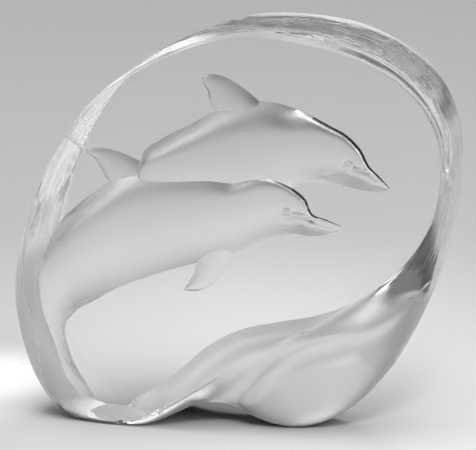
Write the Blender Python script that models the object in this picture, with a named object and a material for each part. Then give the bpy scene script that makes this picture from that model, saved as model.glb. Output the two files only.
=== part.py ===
"""A pressed crystal block with two leaping dolphins sunk into its back, over a wave.

X runs to the right, Y to the back and Z up. The block stands on two flat feet at Z = 0, with the
middle of its box at X = 0 and Y = 0, and its polished window faces -Y.
"""

import math

import bpy
import numpy as np

mm = 0.001

# Driving dimensions
height = 151 * mm
thickness = 40 * mm

# The outlines are drawn in units of this share of the height, with X = 0 near the middle
unit = height / 151
front = -thickness / 2
back = thickness / 2

# Carving, as shares of the thickness
front_dolphin_depth = 0.1625
tail_depth = 0.2
rear_dolphin_depth = 0.15
fin_depth = 0.05
wave_depth = 0.2125
crease_depth = 0.075
past_back = 0.1
edge_crowding = 0.9

# How the front rounds away from the window: at once round the rim, and softly over the lobes,
# which lie between these turns round the hub, in degrees
rim_swell = 2.0
lobe_swell = 1.4
soft_from = (-12, -26)
soft_to = (-174, -162)
front_fall = 0.95

# How the back rounds from the widest line
rear_swell = 1.2
rear_fall = 0.9

# The hub of the polar outlines, in drawing units
hub = np.array([0.0, 80.0])

# Mesh detail
around = 116
crowding = 0.35
crowded_side = math.radians(-48)
front_rings = 18
back_rings = 7
groove_stations = 34
groove_sides = 12
crease_stations = 60

# The edge of the flat polished window, clockwise from the top: X and Z
window_edge = [
    (6, 147.7), (36, 145.5), (52, 141), (64, 134.3), (73, 125), (78, 114), (79, 103),
    (77, 88), (72.4, 77.5), (64, 66.5), (49, 54.5), (36, 46), (21.5, 38), (6.5, 30),
    (-9, 18), (-24, 8), (-37, 2.8), (-50, 4.6), (-63, 8.5), (-69, 16), (-70.6, 27),
    (-72, 37), (-76, 49), (-76, 62), (-73.4, 76), (-68, 92), (-59, 107), (-49, 120),
    (-38, 129.5), (-23, 138.5), (-8, 145),
]

# The widest line round the block: X, Z and how far back it lies as a share of the thickness
widest_line = [
    (6, 149.2, 0.7), (36, 147.6, 0.7), (57, 140.4, 0.7), (72, 128, 0.7), (79, 114, 0.7),
    (80, 102, 0.7), (79.4, 87, 0.7), (76.3, 69, 0.7), (72, 54.5, 0.68), (65, 37.5, 0.66),
    (52.3, 17, 0.64), (39.5, 5, 0.6), (28, 0, 0.56), (17, -0.6, 0.54), (9, 2, 0.5),
    (2, 6, 0.46), (-6, 8, 0.42), (-13, 7.6, 0.36), (-20, 4.4, 0.28), (-29, 0.6, 0.18),
    (-42, -1.2, 0.12), (-54, -0.8, 0.12), (-65, 3.4, 0.14), (-73.6, 13.4, 0.16),
    (-80, 28, 0.2), (-82.4, 44, 0.18), (-80.6, 60, 0.14), (-76.2, 75, 0.1),
    (-70.3, 91.3, 0.08), (-61.4, 106.8, 0.08), (-51, 121.2, 0.1), (-39.6, 131.4, 0.3),
    (-24, 141.6, 0.55), (-8, 147.4, 0.68),
]

# The edge of the back face, clockwise from the top: X and Z
back_edge = [
    (4, 150.4), (22, 151), (44, 147.7), (56, 142.4), (70.4, 130.6), (77.6, 116.7),
    (79.4, 103), (78.7, 87), (74.7, 66), (70, 51.4), (62.8, 34.2), (50, 13), (38, 2.2),
    (27, -0.4), (15, 0.4), (5, 6.5), (-6, 9.4), (-17, 8), (-28, 3), (-42, 0.6), (-57, 1.2),
    (-65, 8), (-68.4, 20), (-70, 32), (-72, 46), (-71.4, 60), (-68.6, 76), (-64.4, 90),
    (-59.4, 102), (-54.4, 112), (-47, 123), (-34, 134.4), (-16, 144.6),
]

# The crease between the two lobes in front, from the arch up to the rim: X and Z
crease_line = [
    (0, 4.5), (4, 11.5), (9.5, 18.5), (16, 26), (23, 32.5), (32, 38.2), (41, 41), (54.5, 44),
    (62, 48.8), (69, 55.5),
]
crease_width = 10
crease_lip = 3.6
crease_starts = 6
crease_fades_over = 10

# What is sunk into the back. Each groove lies between an upper and a lower edge on the back face,
# in X and Z. Its depths, as shares of the thickness, and its sides change evenly from its first
# point to its last. A side of 1 starts at a gentle slope, 2 at a round one, and more at a steeper
# one. Deepest is how far the deepest line lies from the upper edge to the lower one.
grooves = {
    "front_dolphin": {
        "upper": [
            (-112, 26), (-104, 36), (-95, 46), (-84, 56), (-71.6, 70), (-55, 84.4), (-43, 91.5),
            (-28, 94.8), (-12, 94.6), (4, 93), (14.5, 91.2), (20.5, 88.2), (24.2, 85.2),
            (27.2, 79.5), (32.1, 77.9), (37.6, 75.9),
        ],
        "lower": [
            (-53, -6), (-60, 5), (-66.8, 16.5), (-69.6, 27.5), (-66, 35), (-57, 40.9), (-47.8, 46.3),
            (-32, 53), (-14, 59.2), (-1, 63.2), (8, 67.8), (14, 70.2), (20, 71.3), (26, 71.2),
            (32.5, 72), (37, 74.1),
        ],
        "depths": [
            tail_depth, tail_depth, 0.94 * tail_depth, 0.88 * tail_depth, 0.92 * tail_depth,
            0.98 * tail_depth, 0.92 * tail_depth, front_dolphin_depth, front_dolphin_depth,
            front_dolphin_depth, 0.95 * front_dolphin_depth, 0.86 * front_dolphin_depth,
            0.68 * front_dolphin_depth, 0.18 * front_dolphin_depth,
        ],
        "upper_side": [1, 1, 1, 1, 1, 0.95, 0.95, 0.95, 0.95, 0.95, 1, 7, 10, 10],
        "lower_side": [1, 1, 1, 1, 1, 1, 1, 1, 1, 1, 0.9, 0.8, 0.8, 0.8],
        "deepest": [
            0.36, 0.36, 0.36, 0.36, 0.36, 0.36, 0.36, 0.36, 0.36, 0.34, 0.26, 0.14, 0.12, 0.12,
        ],
    },
    "rear_dolphin": {
        "upper": [
            (-40, 93), (-37.6, 99.4), (-31.5, 104), (-20, 110.4), (-10, 116), (-0.8, 119.3),
            (7, 120.6), (15, 119.9), (24, 117.2), (33, 113), (39.5, 109.8), (44.6, 105),
            (48.4, 98.4), (51.4, 95.6), (55.9, 91),
        ],
        "lower": [
            (-38, 86), (-32, 84), (-24, 83), (-14, 82.5), (-4, 82.5), (4, 83), (11, 84.6),
            (17, 87.4), (22, 90.6), (28, 91.3), (34, 91.2), (40, 90.5), (46, 89.7), (51, 89.5),
            (55.6, 90.2),
        ],
        "depths": [
            0.67 * rear_dolphin_depth, rear_dolphin_depth, rear_dolphin_depth,
            rear_dolphin_depth, rear_dolphin_depth, rear_dolphin_depth,
            1.03 * rear_dolphin_depth, 0.9 * rear_dolphin_depth, 0.2 * rear_dolphin_depth,
        ],
        "upper_side": [0.95, 0.95, 0.95, 0.95, 0.95, 1.2, 7, 10, 10],
        "lower_side": [1, 1, 1, 1, 1, 0.9, 0.8, 0.8, 0.8],
        "deepest": [0.36, 0.36, 0.36, 0.36, 0.36, 0.3, 0.16, 0.12, 0.12],
    },
    "front_dorsal_fin": {
        "upper": [(-60.4, 98.3), (-58.2, 99.4), (-53, 99.7), (-46, 98.4), (-36, 94)],
        "lower": [(-60.2, 97.7), (-57.2, 95.8), (-54, 91), (-50, 85), (-36, 84)],
        "depths": [0.25 * fin_depth, 0.65 * fin_depth, fin_depth],
        "upper_side": [0.9],
        "lower_side": [0.9],
        "deepest": [0.5],
    },
    "rear_dorsal_fin": {
        "upper": [(-15.2, 127.8), (-12.4, 129.5), (-6.5, 129), (-0.6, 126), (8, 119.6)],
        "lower": [(-15, 127), (-13, 123.6), (-12, 119), (-8, 113), (8, 112)],
        "depths": [0.25 * fin_depth, 0.65 * fin_depth, fin_depth],
        "upper_side": [0.9],
        "lower_side": [0.9],
        "deepest": [0.5],
    },
    "flipper": {
        "upper": [(-22.3, 47), (-16.2, 47.4), (-11, 50), (-7.6, 54), (-4.4, 60.4), (2, 72)],
        "lower": [(-21.9, 47.6), (-20.2, 50.6), (-18.4, 54), (-17.6, 58), (-17, 62), (-15, 70)],
        "depths": [0.25 * fin_depth, 0.65 * fin_depth, fin_depth],
        "upper_side": [0.9],
        "lower_side": [0.9],
        "deepest": [0.5],
    },
    "wave": {
        "upper": [
            (-62, -14), (-50, -5), (-41.2, 3.6), (-33, 8.4), (-23.6, 16.4), (-12.2, 26.8),
            (-1, 33.2), (14, 37.6), (29, 41.3), (46, 49), (62, 59), (94, 78),
        ],
        "lower": [
            (-60, -40), (-40, -40), (-20, -40), (0, -40), (20, -38), (40, -32), (58, -22),
            (74, -8), (88, 8), (100, 24), (110, 40), (118, 56),
        ],
        "depths": [0.82 * wave_depth, 0.94 * wave_depth, wave_depth, wave_depth, 0.94 * wave_depth],
        "upper_side": [1],
        "lower_side": [1.4],
        "deepest": [0.42],
    },
}


def clear_scene():
    for obj in list(bpy.data.objects):
        bpy.data.objects.remove(obj, do_unlink=True)


def tangents(places, values):
    """Slopes at each knot of a curve that passes through values at places."""
    steps = np.diff(places)[:, None]
    slopes = np.diff(values, axis=0) / steps
    inner = (slopes[:-1] * steps[1:] + slopes[1:] * steps[:-1]) / (steps[:-1] + steps[1:])
    return np.vstack([slopes[:1], inner, slopes[-1:]])


def curve_at(places, values, wanted):
    """A smooth curve through values at places, read at the wanted places."""
    places = np.asarray(places, float)
    values = np.asarray(values, float)
    slopes = tangents(places, values)
    left = np.clip(np.searchsorted(places, wanted, side="right") - 1, 0, len(places) - 2)
    span = (places[left + 1] - places[left])[:, None]
    t = ((wanted - places[left])[:, None]) / span
    from_left = (1 + 2 * t) * (1 - t) ** 2 * values[left]
    from_right = t**2 * (3 - 2 * t) * values[left + 1]
    bend_left = t * (1 - t) ** 2 * span * slopes[left]
    bend_right = t**2 * (t - 1) * span * slopes[left + 1]
    return from_left + from_right + bend_left + bend_right


def length_places(points):
    """How far along a line each of its points lies, from 0 to 1."""
    gaps = np.linalg.norm(np.diff(np.asarray(points, float), axis=0), axis=1)
    return np.concatenate([[0], np.cumsum(gaps)]) / gaps.sum()


def open_curve(points, places, count):
    """Evenly spread points along a smooth curve that has the given points at the given places."""
    return curve_at(places, points, np.linspace(0, 1, count))


def along_groove(values):
    """One value all along a groove, or a few spread evenly along it, read at each station."""
    if len(values) == 1:
        return np.full((groove_stations, 1), values[0])
    places = np.linspace(0, 1, len(values))
    return curve_at(places, np.asarray(values)[:, None], np.linspace(0, 1, groove_stations))


def ease(value, start, end):
    """Rises smoothly from 0 at start to 1 at end."""
    share = np.clip((value - start) / (end - start), 0, 1)
    return share * share * (3 - 2 * share)


def closed_outline(points, angles):
    """Distance from the hub, and any third value, of a closed outline at each angle."""
    points = np.asarray(points, float)
    offset = points[:, :2] - hub
    turn = np.arctan2(offset[:, 1], offset[:, 0])
    values = np.column_stack([np.linalg.norm(offset, axis=1), points[:, 2:]])
    order = np.argsort(turn)
    turn = turn[order]
    values = values[order]
    full = 2 * math.pi
    turns = np.concatenate([turn - full, turn, turn + full])
    return curve_at(turns, np.tile(values, (3, 1)), angles)


def distance_to_line(points, line):
    """Signed distance to a line in drawing units, positive below it."""
    start = line[:-1]
    run = line[1:] - start
    to_point = points[:, None, :] - start[None]
    share = np.clip((to_point * run).sum(2) / (run * run).sum(1), 0, 1)
    gap = to_point - share[..., None] * run
    length = np.linalg.norm(gap, axis=2)
    nearest = length.argmin(1)
    rows = np.arange(len(points))
    side = run[nearest, 0] * gap[rows, nearest, 1] - run[nearest, 1] * gap[rows, nearest, 0]
    return -np.sign(side) * length[rows, nearest]


def block_rings():
    """Rings of points from the window's edge over the widest line to the back face's edge."""
    even = np.linspace(0, 2 * math.pi, around, endpoint=False)
    angles = even - crowding * np.sin(even) + crowded_side
    flat = np.stack([np.cos(angles), np.sin(angles)], axis=1)
    turned = np.degrees(np.arctan2(flat[:, 1], flat[:, 0]))
    soft = ease(turned, *soft_from) * ease(turned, *soft_to)
    swell = rim_swell + (lobe_swell - rim_swell) * soft
    window = closed_outline(window_edge, angles)[:, 0]
    widest = closed_outline(widest_line, angles)
    rear = closed_outline(back_edge, angles)[:, 0]
    middle = front + thickness * widest[:, 1]
    rings = []
    for step in np.linspace(0, math.pi / 2, front_rings):
        radius = window + (widest[:, 0] - window) * math.sin(step) ** swell
        depth = middle - (middle - front) * math.cos(step) ** front_fall
        rings.append((radius, depth))
    for step in np.linspace(0, math.pi / 2, back_rings)[1:]:
        radius = rear + (widest[:, 0] - rear) * math.cos(step) ** rear_swell
        depth = middle + (back - middle) * math.sin(step) ** rear_fall
        rings.append((radius, depth))
    radius, depth = np.moveaxis(np.array(rings), 1, 0)
    outline = hub + radius[..., None] * flat[None]
    depth = depth + press_crease(outline, radius, window, widest[:, 0])
    return np.stack([outline[..., 0] * unit, depth, outline[..., 1] * unit], axis=2)


def press_crease(outline, radius, window, widest):
    """How far the crease pushes each point back: gently from above, steeply from below."""
    line = open_curve(crease_line, length_places(crease_line), crease_stations)
    flat = outline.reshape(-1, 2)
    apart = distance_to_line(flat, line).reshape(radius.shape)
    width = np.where(apart > 0, crease_lip, crease_width)
    room = np.clip((radius - window) / np.maximum(widest - window, 1), 0, 1)
    inside = np.sin(math.pi * room)
    lobed = np.clip((widest - window - crease_starts) / crease_fades_over, 0, 1)
    pressed = crease_depth * thickness * np.exp(-((apart / width) ** 2)) * inside * lobed
    pressed[front_rings:] = 0
    return pressed


def mesh_object(name, points, faces):
    mesh = bpy.data.meshes.new(name)
    mesh.from_pydata([tuple(point) for point in points], [], faces)
    mesh.update()
    return bpy.data.objects.new(name, mesh)


def tube_faces(rings, sides):
    """Quads between rings of the same number of points, and a cap on each end."""
    faces = []
    for ring in range(rings - 1):
        for side in range(sides):
            after = (side + 1) % sides
            faces.append((
                ring * sides + side,
                ring * sides + after,
                (ring + 1) * sides + after,
                (ring + 1) * sides + side,
            ))
    faces.append(tuple(range(sides - 1, -1, -1)))
    last = (rings - 1) * sides
    faces.append(tuple(last + side for side in range(sides)))
    return faces


def facing_out(obj):
    """Turns a closed mesh the right way out."""
    mesh = obj.data
    mesh.calc_loop_triangles()
    points = np.empty(len(mesh.vertices) * 3)
    mesh.vertices.foreach_get("co", points)
    corners = np.empty(len(mesh.loop_triangles) * 3, np.int32)
    mesh.loop_triangles.foreach_get("vertices", corners)
    volume = np.linalg.det(points.reshape(-1, 3)[corners.reshape(-1, 3)]).sum()
    if volume < 0:
        mesh.flip_normals()
    return obj


def groove(name, form, shift):
    """A cutter that sinks a rounded trough between two edges, to a depth that changes along it."""
    places = length_places(form["upper"])
    upper = open_curve(form["upper"], places, groove_stations)[:, None]
    lower = open_curve(form["lower"], places, groove_stations)[:, None]
    upper_side = along_groove(form["upper_side"])
    lower_side = along_groove(form["lower_side"])
    deepest = along_groove(form["deepest"])
    turn = np.linspace(0, math.pi, groove_sides)
    across = np.cos(turn)[None]
    power = np.where(across > 0, upper_side, lower_side)
    sunk = np.abs(np.sin(turn)[None]) ** (2 / power) * along_groove(form["depths"]) * thickness
    share = 1 - np.sign(across) * np.abs(across) ** edge_crowding
    share = np.where(share < 1, share * deepest, deepest + (share - 1) * (1 - deepest))
    place = upper + share[..., None] * (lower - upper)
    floor = np.stack([place[..., 0] * unit, back - sunk, place[..., 1] * unit], axis=2)
    behind = floor[:, [-1, 0]]
    behind[..., 1] = back + past_back * thickness
    rings = np.concatenate([floor, behind], axis=1) - shift
    faces = tube_faces(groove_stations, rings.shape[1])
    return facing_out(mesh_object(name, rings.reshape(-1, 3), faces))


def ground_cutter(width, depth):
    """The box that grinds the two feet flat."""
    bpy.ops.mesh.primitive_cube_add(size=1, location=(0, 0, -depth / 2))
    cutter = bpy.context.active_object
    cutter.name = "ground_plane_cutter"
    cutter.scale = (width, depth, depth)
    bpy.context.view_layer.update()
    bpy.ops.object.transform_apply(location=True, rotation=False, scale=True)
    return cutter


def crystal():
    material = bpy.data.materials.new("clear crystal")
    material.use_nodes = True
    shader = material.node_tree.nodes["Principled BSDF"]
    shader.inputs["Base Color"].default_value = (0.94, 0.95, 0.95, 1)
    shader.inputs["Roughness"].default_value = 0.04
    shader.inputs["Metallic"].default_value = 0
    shader.inputs["Transmission Weight"].default_value = 1
    shader.inputs["IOR"].default_value = 1.54
    material.diffuse_color = (0.8, 0.86, 0.88, 1)
    return material


def carve(block, cutters, hidden):
    for cutter in cutters:
        for owner in list(cutter.users_collection):
            owner.objects.unlink(cutter)
        hidden.objects.link(cutter)
        cutter.hide_render = True
        cutter.display_type = "WIRE"
        cut = block.modifiers.new(cutter.name, "BOOLEAN")
        cut.operation = "DIFFERENCE"
        cut.solver = "EXACT"
        cut.object = cutter


def main():
    clear_scene()
    parts = bpy.data.collections.new("dolphin_figurine")
    hidden = bpy.data.collections.new("cutters")
    hidden.hide_render = True
    bpy.context.scene.collection.children.link(parts)
    bpy.context.scene.collection.children.link(hidden)

    rings = block_rings()
    low = rings.min(axis=(0, 1))
    high = rings.max(axis=(0, 1))
    shift = np.array([(low[0] + high[0]) / 2, 0, 0])
    rings = rings - shift
    block = mesh_object("crystal_block", rings.reshape(-1, 3), tube_faces(len(rings), around))
    facing_out(block)
    parts.objects.link(block)
    block.data.materials.append(crystal())

    cutters = [groove(name, form, shift) for name, form in grooves.items()]
    cutters.append(ground_cutter(2 * height, 2 * thickness))
    carve(block, cutters, hidden)
    bpy.context.view_layer.update()


main()
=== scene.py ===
# A pressed crystal block with two leaping dolphins sunk into its back, over a wave.
# Outlines are drawn in units of a 151st of the block's height, X to the right and Z up, and the
# frame's own box gives the unit, the thickness and the place.
import math

import bpy
import numpy as np
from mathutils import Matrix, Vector


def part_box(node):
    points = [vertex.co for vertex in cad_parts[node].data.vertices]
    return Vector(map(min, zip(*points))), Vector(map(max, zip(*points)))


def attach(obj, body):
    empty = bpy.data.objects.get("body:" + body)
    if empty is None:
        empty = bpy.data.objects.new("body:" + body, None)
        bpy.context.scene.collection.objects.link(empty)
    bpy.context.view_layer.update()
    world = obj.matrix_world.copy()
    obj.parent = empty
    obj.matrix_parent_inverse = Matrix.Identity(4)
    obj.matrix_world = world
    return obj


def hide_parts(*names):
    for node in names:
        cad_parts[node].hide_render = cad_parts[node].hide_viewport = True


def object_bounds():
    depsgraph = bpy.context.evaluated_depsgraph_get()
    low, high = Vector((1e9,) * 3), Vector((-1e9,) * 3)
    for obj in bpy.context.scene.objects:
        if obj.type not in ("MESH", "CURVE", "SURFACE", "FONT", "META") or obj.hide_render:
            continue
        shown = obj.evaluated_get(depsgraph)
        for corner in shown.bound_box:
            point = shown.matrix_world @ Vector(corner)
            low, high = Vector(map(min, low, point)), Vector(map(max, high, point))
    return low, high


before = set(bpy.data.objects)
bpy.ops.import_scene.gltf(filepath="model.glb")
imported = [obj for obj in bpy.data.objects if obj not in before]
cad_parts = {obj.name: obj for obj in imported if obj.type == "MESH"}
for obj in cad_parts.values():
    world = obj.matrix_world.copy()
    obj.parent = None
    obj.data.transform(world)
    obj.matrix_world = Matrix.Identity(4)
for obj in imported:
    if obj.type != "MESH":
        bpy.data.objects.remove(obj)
cadLow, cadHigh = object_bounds()
nodeLow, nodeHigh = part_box("crystal_block")
print("frame loaded")


# Curves

def knotSlopes(places, values):
    # each knot's slope is the mean of the slopes on its two sides, weighted by the other side's length
    steps = np.diff(places)[:, None]
    slopes = np.diff(values, axis=0) / steps
    inner = (slopes[:-1] * steps[1:] + slopes[1:] * steps[:-1]) / (steps[:-1] + steps[1:])
    return np.vstack([slopes[:1], inner, slopes[-1:]])


def curveAt(places, values, wanted):
    # a cubic between each two knots that keeps the value and the slope of both
    places = np.asarray(places, float)
    values = np.asarray(values, float)
    slopes = knotSlopes(places, values)
    left = np.clip(np.searchsorted(places, wanted, side="right") - 1, 0, len(places) - 2)
    span = (places[left + 1] - places[left])[:, None]
    t = (wanted - places[left])[:, None] / span
    held = (1 + 2 * t) * (1 - t) ** 2 * values[left] + t**2 * (3 - 2 * t) * values[left + 1]
    bent = t * (1 - t) ** 2 * slopes[left] + t**2 * (t - 1) * slopes[left + 1]
    return held + bent * span


def lengthPlaces(points):
    # how far along a line each of its points lies, from 0 to 1
    gaps = np.linalg.norm(np.diff(np.asarray(points, float), axis=0), axis=1)
    return np.concatenate([[0], np.cumsum(gaps)]) / gaps.sum()


def openCurve(points, count, places=None):
    # evenly spaced points along a smooth curve through the given ones, at their own places or others
    places = lengthPlaces(points) if places is None else places
    return curveAt(places, points, np.linspace(0, 1, count))


def alongCurve(values, count):
    # a few values spread evenly along a length, read smoothly at count places
    places = np.linspace(0, 1, len(values))
    return curveAt(places, np.asarray(values, float)[:, None], np.linspace(0, 1, count))[:, 0]


def closedOutline(points, hub, angles):
    # the outline's distance from the hub, and any third value, as a periodic function of the angle
    points = np.asarray(points, float)
    offset = points[:, :2] - hub
    turn = np.arctan2(offset[:, 1], offset[:, 0])
    values = np.column_stack([np.linalg.norm(offset, axis=1), points[:, 2:]])
    order = np.argsort(turn)
    whole = 2 * math.pi
    turns = np.concatenate([turn[order] - whole, turn[order], turn[order] + whole])
    return curveAt(turns, np.tile(values[order], (3, 1)), angles)


def nearestOnLine(points, line):
    # for each point, its distance from an open line and which side it is on: 1 below, -1 above
    run = line[1:] - line[:-1]
    toPoint = points[:, None, :] - line[None, :-1]
    share = np.clip((toPoint * run).sum(2) / (run * run).sum(1), 0, 1)
    gap = toPoint - share[..., None] * run
    length = np.linalg.norm(gap, axis=2)
    nearest = length.argmin(1)
    rows = np.arange(len(points))
    side = run[nearest, 0] * gap[rows, nearest, 1] - run[nearest, 1] * gap[rows, nearest, 0]
    return length[rows, nearest], -np.sign(side)


def ease(value, start, end):
    # rises smoothly from 0 at start to 1 at end
    t = np.clip((value - start) / (end - start), 0, 1)
    return t * t * (3 - 2 * t)


# Meshes

def tubeMesh(name, rings, slot, fields):
    # rings of as many points each, joined by quads, with one flat face on each end; each field is a
    # value for every point, and is kept on the faces' corners
    count, sides = rings.shape[:2]
    ring, side = np.meshgrid(np.arange(count - 1), np.arange(sides), indexing="ij")
    after = (side + 1) % sides
    corners = [ring * sides + side, ring * sides + after]
    corners += [(ring + 1) * sides + after, (ring + 1) * sides + side]
    quads = np.stack(corners, axis=-1).reshape(-1, 4)
    caps = [list(range(sides - 1, -1, -1)), list(range((count - 1) * sides, count * sides))]
    mesh = bpy.data.meshes.new(name)
    mesh.from_pydata(rings.reshape(-1, 3).tolist(), [], quads.tolist() + caps)
    mesh.update()
    mesh.polygons.foreach_set("material_index", np.full(len(mesh.polygons), slot, np.int32))
    faceOut(mesh)
    pointOfCorner = np.empty(len(mesh.loops), np.int32)
    mesh.loops.foreach_get("vertex_index", pointOfCorner)
    for fieldName, values in fields.items():
        spread = np.broadcast_to(values, (count, sides)).ravel()[pointOfCorner]
        mesh.attributes.new(fieldName, "FLOAT", "CORNER").data.foreach_set("value", spread)
    obj = bpy.data.objects.new(name, mesh)
    bpy.context.scene.collection.objects.link(obj)
    return obj


def faceOut(mesh):
    # a closed mesh whose faces point out has a positive volume
    mesh.calc_loop_triangles()
    points = np.empty(len(mesh.vertices) * 3)
    mesh.vertices.foreach_get("co", points)
    corners = np.empty(len(mesh.loop_triangles) * 3, np.int32)
    mesh.loop_triangles.foreach_get("vertices", corners)
    if np.linalg.det(points.reshape(-1, 3)[corners.reshape(-1, 3)]).sum() < 0:
        mesh.flip_normals()


# The block's own form, before anything is sunk into it
blockForm = {
    "height": 151,
    "hub": (0, 80),            # where the angle round every outline is measured from
    "around": 420,
    "crowding": 0.35,          # how much closer the points stand towards the crowded side
    "crowdedSide": -48,        # degrees
    "frontRings": 56,
    "rearRings": 22,
    "rimSwell": 2,             # how the front falls away from the window: at once round the rim,
    "lobeSwell": 1.4,          # and softly below, over the lobes
    "frontFall": 0.95,
    "rearSwell": 1.2,          # how the back face rounds into the rim
    "rearFall": 0.9,
    "flatMargin": 0.35,        # a flat strip inside each flat face's edge, so that its light stays even
    # edge of the flat polished window, clockwise from the top
    "windowEdge": [
        (6, 147.7), (36, 145.5), (52, 141), (64, 134.3), (73, 125), (78, 114), (79, 103),
        (77, 88), (72.4, 77.5), (64, 66.5), (49, 54.5), (36, 46), (21.5, 38), (6.5, 30),
        (-9, 18), (-24, 8), (-37, 2.8), (-50, 4.6), (-63, 8.5), (-69, 16), (-70.6, 27),
        (-72, 37), (-76, 49), (-76, 62), (-73.4, 76), (-68, 92), (-59, 107), (-49, 120),
        (-38, 129.5), (-23, 138.5), (-8, 145),
    ],
    # widest line round the block: X, Z and how far back it lies as a share of the thickness
    "widestLine": [
        (6, 149.2, 0.7), (36, 147.6, 0.7), (57, 140.4, 0.7), (72, 128, 0.7), (79, 114, 0.7),
        (80, 102, 0.7), (79.4, 87, 0.7), (76.3, 69, 0.7), (72, 54.5, 0.68), (65, 37.5, 0.66),
        (52.3, 17, 0.64), (39.5, 5, 0.6), (28, 0, 0.56), (17, -0.6, 0.54), (9, 2, 0.5),
        (2, 6, 0.46), (-6, 8, 0.42), (-13, 7.6, 0.36), (-20, 4.4, 0.28), (-29, 0.6, 0.18),
        (-42, -1.2, 0.12), (-54, -0.8, 0.12), (-65, 3.4, 0.14), (-73.6, 13.4, 0.16),
        (-80, 28, 0.2), (-82.4, 44, 0.18), (-80.6, 60, 0.14), (-76.2, 75, 0.1),
        (-70.3, 91.3, 0.08), (-61.4, 106.8, 0.08), (-51, 121.2, 0.1), (-39.6, 131.4, 0.3),
        (-24, 141.6, 0.55), (-8, 147.4, 0.68),
    ],
    # edge of the back face, clockwise from the top
    "backEdge": [
        (4, 150.4), (22, 151), (44, 147.7), (56, 142.4), (70.4, 130.6), (77.6, 116.7),
        (79.4, 103), (78.7, 87), (74.7, 66), (70, 51.4), (62.8, 34.2), (50, 13), (38, 2.2),
        (27, -0.4), (15, 0.4), (5, 6.5), (-6, 9.4), (-17, 8), (-28, 3), (-42, 0.6), (-57, 1.2),
        (-65, 8), (-68.4, 20), (-70, 32), (-72, 46), (-71.4, 60), (-68.6, 76), (-64.4, 90),
        (-59.4, 102), (-54.4, 112), (-47, 123), (-34, 134.4), (-16, 144.6),
    ],
    # the crease between the two lobes in front, from the arch up to the rim
    "creaseLine": [
        (0, 4.5), (4, 11.5), (9.5, 18.5), (16, 26), (23, 32.5), (32, 38.2), (41, 41), (54.5, 44),
        (62, 48.8), (69, 55.5),
    ],
    "creaseDepth": 3,
    "creaseWidth": 10,         # above the line
    "creaseLip": 3.6,          # below it
    "creaseStarts": 6,         # no crease where the front falls away over less than this
    "creaseFadesOver": 10,
    "creaseStations": 160,
    # between these degrees round the hub, each a start and an end of the change, the outside falls
    # softly and is satin
    "softFrom": (-12, -26),
    "softTo": (-174, -162),
    "satinGrowsOver": 2.5,     # out from the window's edge
    "chillGrowsOver": 1.5,
    "lobeSatin": 0.62,         # how satin the lobes are, where the left wall is 1
    "wallFrom": (-116, -130),  # degrees
    # clear ovals in the satin at the left foot, with a sunk ragged rim
    "ovals": [
        {"middle": (-50.5, 2.8), "half": (13.4, 3.4), "tilt": -12, "rim": 0.16},
        {"middle": (-28.5, 6), "half": (3.2, 1.3), "tilt": 0, "rim": 0.4},
    ],
    "ovalEdge": 0.3,           # over which the satin comes back, as a share of the oval
    "ovalSunk": 0.5,
    # the arris along the upper right of the rim, between these degrees
    "ridgeHeight": 0.9,
    "ridgePlace": 0.6,         # of the way from the window's edge to the widest line
    "ridgeWidth": 7,           # rings on either side
    "ridgeFrom": (82, 64),
    "ridgeTo": (6, 24),
}
unit = (cadHigh.z - cadLow.z) / blockForm["height"]
thickness = (nodeHigh.y - nodeLow.y) / unit
front = nodeLow.y / unit
back = nodeHigh.y / unit


def creasePress(outline, radius, window, widest):
    # a valley with a gentle slope above its line and a steep one below, strongest half way out
    form = blockForm
    line = openCurve(form["creaseLine"], form["creaseStations"])
    apart, side = nearestOnLine(outline.reshape(-1, 2), line)
    width = np.where(side > 0, form["creaseLip"], form["creaseWidth"])
    press = form["creaseDepth"] * np.exp(-((apart / width) ** 2)).reshape(radius.shape)
    room = np.clip((radius - window) / np.maximum(widest - window, 1), 0, 1)
    lobed = np.clip((widest - window - form["creaseStarts"]) / form["creaseFadesOver"], 0, 1)
    return press * np.sin(math.pi * room) * lobed


def ovalFields(outline):
    # how clear each point is, 1 inside an oval, and how much of an oval's rim it is, by its distance
    # from the middle in shares of the oval
    clear = np.zeros(outline.shape[:2])
    rim = np.zeros(outline.shape[:2])
    for oval in blockForm["ovals"]:
        tilt = math.radians(oval["tilt"])
        offset = outline - oval["middle"]
        along = offset[..., 0] * math.cos(tilt) + offset[..., 1] * math.sin(tilt)
        over = offset[..., 1] * math.cos(tilt) - offset[..., 0] * math.sin(tilt)
        away = np.hypot(along / oval["half"][0], over / oval["half"][1])
        clear = np.maximum(clear, ease(away, 1 + blockForm["ovalEdge"], 1))
        rim = np.maximum(rim, np.exp(-(((away - 1) / oval["rim"]) ** 2)))
    return clear, rim


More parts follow.
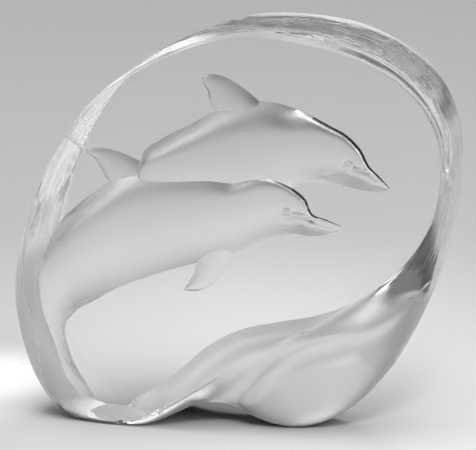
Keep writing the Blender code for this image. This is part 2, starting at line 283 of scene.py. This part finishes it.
def blockRings():
    # from the window's edge a superellipse falls to the widest line, and another from there to the back
    form = blockForm
    even = np.linspace(0, 2 * math.pi, form["around"], endpoint=False)
    angles = even - form["crowding"] * np.sin(even) + math.radians(form["crowdedSide"])
    flat = np.stack([np.cos(angles), np.sin(angles)], axis=1)
    turned = np.degrees(np.arctan2(flat[:, 1], flat[:, 0]))
    soft = ease(turned, *form["softFrom"]) * ease(turned, *form["softTo"])
    window = closedOutline(form["windowEdge"], form["hub"], angles)[:, 0]
    widest, share = closedOutline(form["widestLine"], form["hub"], angles).T
    rear = closedOutline(form["backEdge"], form["hub"], angles)[:, 0]
    middle = front + thickness * share
    down = np.linspace(0, math.pi / 2, form["frontRings"])[:, None]
    swell = form["rimSwell"] + (form["lobeSwell"] - form["rimSwell"]) * soft
    frontRadius = window + (widest - window) * np.sin(down) ** swell
    ringPlace = np.arange(form["frontRings"])[:, None]
    fromRidge = np.abs(ringPlace - form["ridgePlace"] * form["frontRings"]) / form["ridgeWidth"]
    ridged = ease(turned, *form["ridgeFrom"]) * ease(turned, *form["ridgeTo"])
    frontRadius = frontRadius + form["ridgeHeight"] * ridged * np.clip(1 - fromRidge, 0, 1)
    frontDepth = middle - (middle - front) * np.cos(down) ** form["frontFall"]
    rise = np.linspace(0, math.pi / 2, form["rearRings"])[1:, None]
    rearRadius = rear + (widest - rear) * np.cos(rise) ** form["rearSwell"]
    rearDepth = middle + (back - middle) * np.sin(rise) ** form["rearFall"]
    frontOutline = form["hub"] + frontRadius[..., None] * flat
    frontDepth = frontDepth + creasePress(frontOutline, frontRadius, window, widest)
    clear, ovalRim = ovalFields(frontOutline)
    frontDepth = frontDepth + form["ovalSunk"] * ovalRim
    radius = np.vstack([
        window - form["flatMargin"], frontRadius, rearRadius, rear - form["flatMargin"],
    ])
    depth = np.vstack([np.full_like(window, front), frontDepth, rearDepth, np.full_like(rear, back)])
    outline = form["hub"] + radius[..., None] * flat
    lobed = form["lobeSatin"] + (1 - form["lobeSatin"]) * ease(turned, *form["wallFrom"])
    satin = soft * lobed * ease(radius - window, 0, form["satinGrowsOver"])
    satin[1:1 + form["frontRings"]] *= 1 - clear
    satin[1 + form["frontRings"]:] = soft * lobed
    satin[-1] = 0
    chill = (1 - soft) * ease(radius - window, 0, form["chillGrowsOver"])
    chill[1:1 + form["frontRings"]] += ovalRim
    chill[1 + form["frontRings"]:] = 1 - soft
    chill[-2:] = 0
    # along the rim in units of the widest line's own length, and across it from the front
    widestRing = outline[form["frontRings"]]
    steps = np.linalg.norm(np.diff(widestRing, axis=0, prepend=widestRing[-1:]), axis=1)
    fields = {"satin": satin, "chill": chill, "alongRim": np.cumsum(steps), "acrossRim": depth - front}
    return np.stack([outline[..., 0], depth, outline[..., 1]], axis=2), fields


rings, blockFields = blockRings()
middleX = (rings[..., 0].min() + rings[..., 0].max()) / 2
shift = np.array([middleX, 0, 0])
block = tubeMesh("crystalBlock", (rings - shift) * unit, 0, blockFields)
print("block formed,", len(block.data.polygons), "faces")


# What is sunk into the back. Each hollow is a trough between an upper and a lower edge on the back
# face; its depths and steepness change evenly from its first point to its last. Steepness 1 gives a
# side that starts at a moderate slope, 2 a round one, and more a squarer one. Deepest is how far its
# deepest line lies from the upper edge to the lower one. Marks are fine lines raised on its floor.
# Polished wall is where along it the upper side turns clear, and over how many of its faces.
hollowDetail = {"stations": 240, "sides": 56, "markStations": 40, "edgeCrowding": 0.9, "pastBack": 4}
hollows = {
    "frontDolphin": {
        "upper": [
            (-112, 26), (-104, 36), (-95, 46), (-84, 56), (-71.6, 70), (-55, 84.4), (-43, 91.5),
            (-28, 94.8), (-12, 94.6), (4, 93), (14.5, 91.2), (20.5, 88.2), (24.2, 85.2),
            (27.2, 79.5), (32.1, 77.9), (37.6, 75.9),
        ],
        "lower": [
            (-53, -6), (-60, 5), (-66.8, 16.5), (-69.6, 27.5), (-66, 35), (-57, 40.9), (-47.8, 46.3),
            (-32, 53), (-14, 59.2), (-1, 63.2), (8, 67.8), (14, 70.2), (20, 71.3), (26, 71.2),
            (32.5, 72), (37, 74.1),
        ],
        "depths": [8, 8, 7.5, 7, 7.4, 7.8, 7.4, 6.5, 6.5, 6.5, 6.2, 5.6, 4.4, 1.2],
        "upperSide": [1, 1, 1, 1, 1, 0.95, 0.95, 0.95, 0.95, 0.95, 1, 7, 10, 10],
        "lowerSide": [1, 1, 1, 1, 1, 1, 1, 1, 1, 1, 0.9, 0.8, 0.8, 0.8],
        "deepest": [0.36, 0.36, 0.36, 0.36, 0.36, 0.36, 0.36, 0.36, 0.36, 0.34, 0.26, 0.14, 0.12, 0.12],
        "polishedWall": (0.755, 8),
        "marks": [
            {"line": [(37.6, 75.2), (34.5, 75.7), (30.7, 76.2), (27, 77.8)], "width": 0.8, "rise": 0.5},
            {"line": [(27, 77.8), (24.3, 79), (20.2, 79.1), (17.2, 78.1)], "width": 1.1, "rise": 0.9},
            {"line": [(15.6, 80.2), (17.1, 81.6), (18.8, 81)], "width": 0.8, "rise": 0.7},
        ],
    },
    "rearDolphin": {
        "upper": [
            (-40, 93), (-37.6, 99.4), (-31.5, 104), (-20, 110.4), (-10, 116), (-0.8, 119.3),
            (7, 120.6), (15, 119.9), (24, 117.2), (33, 113), (39.5, 109.8), (44.6, 105),
            (48.4, 98.4), (51.4, 95.6), (55.9, 91),
        ],
        "lower": [
            (-38, 86), (-32, 84), (-24, 83), (-14, 82.5), (-4, 82.5), (4, 83), (11, 84.6),
            (17, 87.4), (22, 90.6), (28, 91.3), (34, 91.2), (40, 90.5), (46, 89.7), (51, 89.5),
            (55.6, 90.2),
        ],
        "depths": [4, 6, 6, 6, 6, 6, 6.2, 5.4, 1.2],
        "upperSide": [0.95, 0.95, 0.95, 0.95, 0.95, 1.2, 7, 10, 10],
        "lowerSide": [1, 1, 1, 1, 1, 0.9, 0.8, 0.8, 0.8],
        "deepest": [0.36, 0.36, 0.36, 0.36, 0.36, 0.3, 0.16, 0.12, 0.12],
        "polishedWall": (0.66, 8),
        "marks": [
            {"line": [(50.5, 94.5), (49, 96.6), (46, 97.6), (42.8, 98)], "width": 1, "rise": 0.9},
            {"line": [(39, 99.4), (40.6, 100.6), (42.2, 100)], "width": 0.8, "rise": 0.7},
        ],
    },
    "frontDorsalFin": {
        "upper": [(-60.4, 98.3), (-58.2, 99.4), (-53, 99.7), (-46, 98.4), (-36, 94)],
        "lower": [(-60.2, 97.7), (-57.2, 95.8), (-54, 91), (-50, 85), (-36, 84)],
        "depths": [0.5, 1.3, 2],
        "upperSide": [0.9],
        "lowerSide": [0.9],
        "deepest": [0.5],
        "marks": [],
    },
    "rearDorsalFin": {
        "upper": [(-15.2, 127.8), (-12.4, 129.5), (-6.5, 129), (-0.6, 126), (8, 119.6)],
        "lower": [(-15, 127), (-13, 123.6), (-12, 119), (-8, 113), (8, 112)],
        "depths": [0.5, 1.3, 2],
        "upperSide": [0.9],
        "lowerSide": [0.9],
        "deepest": [0.5],
        "marks": [],
    },
    "flipper": {
        "upper": [(-22.3, 47), (-16.2, 47.4), (-11, 50), (-7.6, 54), (-4.4, 60.4), (2, 72)],
        "lower": [(-21.9, 47.6), (-20.2, 50.6), (-18.4, 54), (-17.6, 58), (-17, 62), (-15, 70)],
        "depths": [0.5, 1.3, 2],
        "upperSide": [0.9],
        "lowerSide": [0.9],
        "deepest": [0.5],
        "marks": [],
    },
    "wave": {
        "upper": [
            (-62, -14), (-50, -5), (-41.2, 3.6), (-33, 8.4), (-23.6, 16.4), (-12.2, 26.8),
            (-1, 33.2), (14, 37.6), (29, 41.3), (46, 49), (62, 59), (94, 78),
        ],
        "lower": [
            (-60, -40), (-40, -40), (-20, -40), (0, -40), (20, -38), (40, -32), (58, -22),
            (74, -8), (88, 8), (100, 24), (110, 40), (118, 56),
        ],
        "depths": [7, 8, 8.5, 8.5, 8],
        "upperSide": [1],
        "lowerSide": [1.4],
        "deepest": [0.42],
        "marks": [
            {
                "line": [(-30, 2), (-20, 10.5), (-10, 20), (0, 27), (14, 31.5), (29, 35), (46, 42.5)],
                "width": 2, "rise": 0.5,
            },
            {"line": [(-8, 9), (2, 18), (13, 24), (26, 27), (40, 32)], "width": 2.4, "rise": 0.5},
        ],
    },
}

# A hollow's faces take their whole finish from their slot
cutFields = {"satin": 0, "chill": 0, "alongRim": 0, "acrossRim": 0}


def hollowCutter(name, form):
    # across the trough the depth is |sin|^(2/steepness) of the turn from the upper to the lower edge
    stations = hollowDetail["stations"]
    upper = openCurve(form["upper"], stations)[:, None]
    lower = openCurve(form["lower"], stations, lengthPlaces(form["upper"]))[:, None]
    along = {
        part: alongCurve(form[part] * 2 if len(form[part]) == 1 else form[part], stations)[:, None]
        for part in ("depths", "upperSide", "lowerSide", "deepest")
    }
    turn = np.linspace(0, math.pi, hollowDetail["sides"])
    across = np.cos(turn)[None]
    power = np.where(across > 0, along["upperSide"], along["lowerSide"])
    sunk = np.abs(np.sin(turn)[None]) ** (2 / power) * along["depths"]
    share = 1 - np.sign(across) * np.abs(across) ** hollowDetail["edgeCrowding"]
    deepest = along["deepest"]
    share = np.where(share < 1, share * deepest, deepest + (share - 1) * (1 - deepest))
    place = upper + share[..., None] * (lower - upper)
    for mark in form["marks"]:
        line = openCurve(mark["line"], hollowDetail["markStations"])
        apart = nearestOnLine(place.reshape(-1, 2), line)[0].reshape(sunk.shape)
        rise = mark["rise"] * np.exp(-((apart / mark["width"]) ** 2))
        sunk = sunk - np.minimum(rise, sunk / 2)
    floor = np.stack([place[..., 0], back - sunk, place[..., 1]], axis=2)
    behind = floor[:, [-1, 0]]
    behind[..., 1] = back + hollowDetail["pastBack"]
    section = np.concatenate([floor, behind], axis=1)
    cutter = tubeMesh(name, (section - shift) * unit, 1, cutFields)
    if "polishedWall" in form:
        polishWall(cutter.data, *form["polishedWall"], section.shape[1])
    return cutter


def polishWall(mesh, start, rows, sides):
    # the quads run round each section in turn, from the upper edge: the first few are its upper side
    quads = np.arange(len(mesh.polygons) - 2)
    slots = np.ones(len(mesh.polygons), np.int32)
    stationsIn = quads // sides >= start * hollowDetail["stations"]
    slots[:-2][stationsIn & (quads % sides < rows)] = 0
    mesh.polygons.foreach_set("material_index", slots)


def groundCutter():
    # everything below the ground plane is ground away, which leaves the two flat feet
    half = blockForm["height"]
    corners = np.array([(-half, -half), (half, -half), (half, half), (-half, half)], float)
    low = np.column_stack([corners, np.full(4, -half)])
    high = np.column_stack([corners, np.zeros(4)])
    return tubeMesh("groundCutter", np.stack([low, high]) * unit, 1, cutFields)


def cut(obj, cutters):
    for cutter in cutters:
        step = obj.modifiers.new(cutter.name, "BOOLEAN")
        step.operation = "DIFFERENCE"
        step.solver = "EXACT"
        step.material_mode = "INDEX"
        step.object = cutter
    bpy.context.view_layer.update()
    whole = bpy.data.meshes.new_from_object(obj.evaluated_get(bpy.context.evaluated_depsgraph_get()))
    obj.modifiers.clear()
    old = obj.data
    obj.data = whole
    bpy.data.meshes.remove(old)
    for cutter in cutters:
        bpy.data.objects.remove(cutter)


def facePairs(mesh):
    # the two faces on each edge of a closed mesh, in the order of the edges
    edgeOfCorner = np.empty(len(mesh.loops), np.int32)
    mesh.loops.foreach_get("edge_index", edgeOfCorner)
    totals = np.empty(len(mesh.polygons), np.int32)
    mesh.polygons.foreach_get("loop_total", totals)
    faceOfCorner = np.repeat(np.arange(len(totals)), totals)
    return faceOfCorner[np.argsort(edgeOfCorner, kind="stable")].reshape(-1, 2)


def shade(mesh, turn):
    # smooth, but for edges that turn more than this and those where a hollow meets the clear face
    mesh.polygons.foreach_set("use_smooth", np.ones(len(mesh.polygons), bool))
    pairs = facePairs(mesh)
    normals = np.empty(len(mesh.polygons) * 3)
    mesh.polygons.foreach_get("normal", normals)
    normals = normals.reshape(-1, 3)[pairs]
    slots = np.empty(len(mesh.polygons), np.int32)
    mesh.polygons.foreach_get("material_index", slots)
    slots = slots[pairs]
    sharp = (normals[:, 0] * normals[:, 1]).sum(1) < math.cos(math.radians(turn))
    sharp |= slots[:, 0] != slots[:, 1]
    named = mesh.attributes.get("sharp_edge") or mesh.attributes.new("sharp_edge", "BOOLEAN", "EDGE")
    named.data.foreach_set("value", sharp)


# Finishes

finish = {
    "ior": 1.54,
    "outerRoughness": 0.55,    # where the outside is fully satin
    "satinRoughness": 0.45,
    # the rim's chilled skin: how far its waves turn the surface, their size in the block's units and
    # how much longer they run along the rim than across it
    "chillStrength": 0.75,
    "chillDepth": 0.0009,
    "chillSize": 0.16,
    "chillStretch": 5,
    "chillDetail": 3,
    "chillDistortion": 0.6,
    "sharpTurn": 24,           # degrees between two faces from which their edge is sharp
}


class Socket:
    # wraps one output, so that an expression on outputs adds its own Math nodes
    def __init__(self, nodes, output):
        self.nodes = nodes
        self.output = output

    def maths(self, operation, first, second):
        return self.nodes.add("ShaderNodeMath", {"operation": operation}, {0: first, 1: second})

    def __add__(self, other):
        return self.maths("ADD", self, other)

    def __mul__(self, other):
        return self.maths("MULTIPLY", self, other)

    def __rsub__(self, other):
        return self.maths("SUBTRACT", other, self)


class Nodes:
    # one node tree, of a material or of the world
    def __init__(self, owner):
        owner.use_nodes = True
        self.owner = owner
        self.tree = owner.node_tree

    def add(self, kind, settings, inputs, output=0):
        # settings are set first, then each named or numbered input takes a value or a link
        node = self.tree.nodes.new(kind)
        for name, value in settings.items():
            setattr(node, name, value)
        self.fill(node, inputs)
        return Socket(self, node.outputs[output])

    def fill(self, node, inputs):
        for name, value in inputs.items():
            if isinstance(value, Socket):
                self.tree.links.new(value.output, node.inputs[name])
            else:
                node.inputs[name].default_value = value


def plainMaterial(name, inputs):
    nodes = Nodes(bpy.data.materials.new(name))
    nodes.fill(nodes.tree.nodes["Principled BSDF"], inputs)
    return nodes.owner


def clearCrystal():
    # clear, but as rough as the satin value says; the rim's skin ripples where there is no satin
    nodes = Nodes(bpy.data.materials.new("clear crystal"))
    satin = nodes.add("ShaderNodeAttribute", {"attribute_name": "satin"}, {}, output="Fac")
    chill = nodes.add("ShaderNodeAttribute", {"attribute_name": "chill"}, {}, output="Fac")
    along = nodes.add("ShaderNodeAttribute", {"attribute_name": "alongRim"}, {}, output="Fac")
    across = nodes.add("ShaderNodeAttribute", {"attribute_name": "acrossRim"}, {}, output="Fac")
    size = finish["chillSize"]
    place = nodes.add("ShaderNodeCombineXYZ", {}, {
        0: along * (size / finish["chillStretch"]), 1: across * size,
    })
    skin = nodes.add("ShaderNodeTexNoise", {}, {
        "Vector": place, "Scale": 1, "Detail": finish["chillDetail"],
        "Distortion": finish["chillDistortion"],
    })
    ripple = nodes.add("ShaderNodeBump", {}, {
        "Strength": finish["chillStrength"], "Distance": finish["chillDepth"], "Height": skin * chill,
    })
    nodes.fill(nodes.tree.nodes["Principled BSDF"], {
        "Base Color": (1, 1, 1, 1), "Roughness": satin * finish["outerRoughness"],
        "IOR": finish["ior"], "Transmission Weight": 1, "Normal": ripple,
    })
    return nodes.owner


def satinCrystal():
    return plainMaterial("satin crystal", {
        "Base Color": (1, 1, 1, 1), "Roughness": finish["satinRoughness"],
        "IOR": finish["ior"], "Transmission Weight": 1,
    })


block.data.materials.append(clearCrystal())
block.data.materials.append(satinCrystal())
cut(block, [hollowCutter(name, form) for name, form in hollows.items()] + [groundCutter()])
shade(block.data, finish["sharpTurn"])
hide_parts("crystal_block")
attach(block, "root")
print("hollows sunk,", len(block.data.polygons), "faces")


# Stage

studio = {
    "target": (0.0012, 0, 0.075),
    "azimuth": 16,             # degrees the camera stands to the right of square on
    "elevation": 14,
    "distance": 0.9,
    "viewWidth": 0.175,        # what the picture takes in at the target
    "sensor": 36,
    "nearClip": 0.01,
    "floorSize": 8,
    "floorGap": 0.0001,        # keeps the floor just clear of the feet
    "floorColour": (0.8, 0.8, 0.8, 1),
    "floorRoughness": 0.9,
    "floorSpecular": 0.1,
    "bounces": 16,             # enough for the light that goes to and fro inside the rim
}


def direction(azimuth, elevation):
    # the unit vector from the object towards a viewer or a light
    turn = math.radians(azimuth)
    lift = math.radians(elevation)
    return Vector((math.sin(turn) * math.cos(lift), -math.cos(turn) * math.cos(lift), math.sin(lift)))


def aim(obj, place, target):
    obj.location = place
    obj.rotation_euler = (Vector(target) - Vector(place)).to_track_quat("-Z", "Y").to_euler()


def makeCamera():
    lens = bpy.data.cameras.new("camera")
    lens.sensor_width = studio["sensor"]
    lens.lens = studio["sensor"] * studio["distance"] / studio["viewWidth"]
    lens.clip_start = studio["nearClip"]
    camera = bpy.data.objects.new("camera", lens)
    bpy.context.scene.collection.objects.link(camera)
    target = Vector(studio["target"])
    aim(camera, target + studio["distance"] * direction(studio["azimuth"], studio["elevation"]), target)
    bpy.context.scene.camera = camera


def makeFloor():
    half = studio["floorSize"] / 2
    z = -studio["floorGap"]
    mesh = bpy.data.meshes.new("floor")
    corners = [(-half, -half, z), (half, -half, z), (half, half, z), (-half, half, z)]
    mesh.from_pydata(corners, [], [(0, 1, 2, 3)])
    mesh.materials.append(plainMaterial("pale floor", {
        "Base Color": studio["floorColour"], "Roughness": studio["floorRoughness"],
        "Specular IOR Level": studio["floorSpecular"],
    }))
    floor = bpy.data.objects.new("floor", mesh)
    bpy.context.scene.collection.objects.link(floor)


# Grey of the studio's walls at the horizon and overhead, with the heights in degrees between which
# one turns into the other, and soft-edged patches on them: where each one's middle stands, its half
# width and how wide its soft edge is, in degrees, and its grey
studioWalls = {"horizon": 0.12, "overhead": 1, "brightFrom": 22, "brightAt": 50}
wallPatches = [
    {"azimuth": 0, "elevation": 20, "radius": 60, "edge": 30, "grey": 0.2},
    {"azimuth": 162, "elevation": 34, "radius": 34, "edge": 14, "grey": 0.03},
    {"azimuth": 156, "elevation": 30, "radius": 27, "edge": 5, "grey": 0.002},
    {"azimuth": -144, "elevation": 26, "radius": 8, "edge": 6, "grey": 0.03},
    {"azimuth": -150, "elevation": 11, "radius": 4, "edge": 7, "grey": 1.6},
    {"azimuth": 112, "elevation": 6, "radius": 16, "edge": 8, "grey": 0.01},
    {"azimuth": -114, "elevation": 4, "radius": 12, "edge": 6, "grey": 0},
]


def makeWorld():
    # a patch's mask rises from 0 to 1 as the ray's direction turns from its edge to its inside
    nodes = Nodes(bpy.data.worlds.new("studio"))
    ray = nodes.add("ShaderNodeTexCoord", {}, {}, output="Generated")
    up = nodes.add("ShaderNodeSeparateXYZ", {}, {0: ray}, output=2)
    walls = studioWalls
    grey = nodes.add("ShaderNodeMapRange", {"interpolation_type": "SMOOTHSTEP"}, {
        "Value": up,
        "From Min": math.sin(math.radians(walls["brightFrom"])),
        "From Max": math.sin(math.radians(walls["brightAt"])),
        "To Min": walls["horizon"], "To Max": walls["overhead"],
    })
    for patch in wallPatches:
        towards = direction(patch["azimuth"], patch["elevation"])
        settings = {"operation": "DOT_PRODUCT"}
        facing = nodes.add("ShaderNodeVectorMath", settings, {0: ray, 1: towards}, output=1)
        inner = math.cos(math.radians(patch["radius"]))
        outer = math.cos(math.radians(patch["radius"] + patch["edge"]))
        mask = nodes.add("ShaderNodeMapRange", {"interpolation_type": "SMOOTHSTEP"}, {
            "Value": facing, "From Min": outer, "From Max": inner,
        })
        grey = grey + (patch["grey"] - grey) * mask
    nodes.fill(nodes.tree.nodes["Background"], {"Color": grey})
    bpy.context.scene.world = nodes.owner


# Area lamps round the target: their direction in degrees, distance, size in metres and watts
lights = {
    "overhead": {"azimuth": 0, "elevation": 78, "away": 3.5, "size": (2.2, 2.2), "watts": 57},
    "rightSide": {"azimuth": 62, "elevation": 30, "away": 0.6, "size": (0.3, 0.3), "watts": 1.1},
}

# Soft pools of light on the floor: where each lamp stands, where its middle falls, half its spread
# in degrees, how large the lamp is and its watts
pools = {
    "rightFront": {
        "place": (0.2, -0.45, 0.5), "target": (0.09, -0.1, 0), "spread": 14, "size": 0.1, "watts": 12,
    },
    "behind": {
        "place": (-0.05, 0.45, 0.5), "target": (-0.04, 0.09, 0), "spread": 14, "size": 0.1, "watts": 6,
    },
    "leftFoot": {
        "place": (-0.3, 0.05, 0.25), "target": (-0.106, 0.024, 0), "spread": 4.5, "size": 0.03,
        "watts": 8,
    },
}


def makeLight(name, form):
    lamp = bpy.data.lights.new(name, "AREA")
    lamp.shape = "RECTANGLE"
    lamp.size, lamp.size_y = form["size"]
    lamp.energy = form["watts"]
    obj = bpy.data.objects.new(name, lamp)
    bpy.context.scene.collection.objects.link(obj)
    target = Vector(studio["target"])
    aim(obj, target + form["away"] * direction(form["azimuth"], form["elevation"]), target)


def makePool(name, form):
    lamp = bpy.data.lights.new(name, "SPOT")
    lamp.spot_size = 2 * math.radians(form["spread"])
    lamp.spot_blend = 1
    lamp.shadow_soft_size = form["size"]
    lamp.energy = form["watts"]
    obj = bpy.data.objects.new(name, lamp)
    bpy.context.scene.collection.objects.link(obj)
    aim(obj, form["place"], form["target"])


makeCamera()
makeFloor()
makeWorld()
for name, form in lights.items():
    makeLight(name, form)
for name, form in pools.items():
    makePool(name, form)
scene = bpy.context.scene
scene.view_settings.view_transform = "Standard"
scene.cycles.max_bounces = studio["bounces"]
scene.cycles.transmission_bounces = studio["bounces"]
scene.cycles.glossy_bounces = studio["bounces"]
# with no light focused through the block, its shadow is as dark as in the photograph
scene.cycles.caustics_refractive = False
scene.cycles.caustics_reflective = False
print("studio set")
